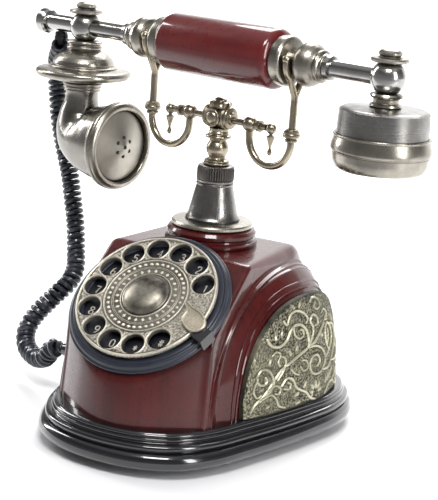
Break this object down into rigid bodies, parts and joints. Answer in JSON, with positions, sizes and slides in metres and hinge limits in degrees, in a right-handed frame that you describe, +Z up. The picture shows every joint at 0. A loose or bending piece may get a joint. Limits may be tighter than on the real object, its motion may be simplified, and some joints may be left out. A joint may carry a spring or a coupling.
{
  "type": "rotary telephone",
  "caption": "Antique-style desk telephone with a dial, a turned column, two forked cradle arms and a long handset with horn and cup.",
  "frame": {"origin": "floor level at the middle of the whole outline", "axes": "+X to the right along the handset's length, +Y towards the back, away from the dial, +Z up"},
  "size_m": [0.2838, 0.1872, 0.2316],
  "materials": {
    "burgundy_lacquer": "deep burgundy gloss lacquer",
    "black_moulding": "black gloss moulding",
    "gilt": "aged pale gilt, satin",
    "antique_nickel": "antique nickel, softly polished",
    "dial_ring": "blue-black gloss",
    "brass": "plain brass",
    "steel": "plain steel",
    "rubber": "matte",
    "board": "coated board",
    "cord": "satin curly cord"
  },
  "bodies": {
    "base": {"plinth": "black_moulding", "bottom_plate": "black_moulding", "rubber_feet": "rubber", "bottom_screws": "steel", "body_shell": "burgundy_lacquer", "left_side_panel": "gilt", "right_side_panel": "gilt", "pedestal_ring": "burgundy_lacquer", "column_flange": "antique_nickel", "column_cone": "antique_nickel", "knurled_collar": "antique_nickel", "column_liner": "brass", "dial_backing": "dial_ring", "number_plate": "dial_ring", "finger_stop": "gilt", "finger_stop_clip": "black_moulding", "dial_frame": "steel", "circuit_board": "board", "board_posts": "steel", "ringer": "brass", "line_jack": "black_moulding", "cord_socket": "black_moulding", "hook_bracket": "steel", "hook_switch": "black_moulding", "cord_plug": "black_moulding"},
    "dial": {"finger_wheel": "gilt", "dial_centre_cap": "antique_nickel", "dial_shaft": "steel", "main_gear": "brass"},
    "governor": {"governor_pinion": "brass"},
    "cradle": {"plunger_rod": "steel", "plunger_spring": "steel", "cradle_stem": "antique_nickel", "cradle_hub": "antique_nickel", "hub_crown": "antique_nickel", "left_arm": "antique_nickel", "right_arm": "antique_nickel", "arm_finials": "antique_nickel", "left_fork": "antique_nickel", "right_fork": "antique_nickel"},
    "handset": {"handset_grip": "burgundy_lacquer", "left_ferrule": "antique_nickel", "right_ferrule": "antique_nickel", "left_rod": "antique_nickel", "right_rod": "antique_nickel", "rod_end": "antique_nickel", "transmitter_ball": "antique_nickel", "receiver_ball": "antique_nickel", "transmitter_finial": "antique_nickel", "receiver_finial": "antique_nickel", "transmitter_disc": "antique_nickel", "transmitter_horn": "antique_nickel", "mouthpiece_ring": "antique_nickel", "mouthpiece_disc": "antique_nickel", "receiver_stem": "antique_nickel", "receiver_cup": "antique_nickel", "receiver_ring": "antique_nickel", "earpiece_cap": "antique_nickel", "cord_boot": "black_moulding", "handset_cord": "cord"}
  },
  "joints": [
    {"name": "dial_turn", "type": "hinge", "parent": "base", "child": "dial", "pos_m": [0.0072, -0.0485, 0.087], "axis": [0, -0.6428, 0.766], "range_deg": [-304, 0], "stiffness_Nm_per_rad": 0.006, "springref_deg": 85.94},
    {"name": "governor_spin", "type": "hinge", "parent": "base", "child": "governor", "pos_m": [0.0375, -0.0485, 0.087], "axis": [0, -0.6428, 0.766], "range_deg": [-2, 1218]},
    {"name": "handset_lift", "type": "slide", "parent": "base", "child": "handset", "axis": [0, 0, 1], "range_m": [0, 0.08]},
    {"name": "cradle_slide", "type": "slide", "parent": "base", "child": "cradle", "axis": [0, 0, 1], "range_m": [0, 0.004], "stiffness_N_per_m": 100, "springref_m": 0.01, "deforming": ["plunger_spring"]}
  ],
  "couplings": [
    {"joint": "governor_spin", "follows": "dial_turn", "ratio": -4},
    {"joint": "cradle_slide", "follows": "handset_lift", "ratio": 0.05}
  ]
}
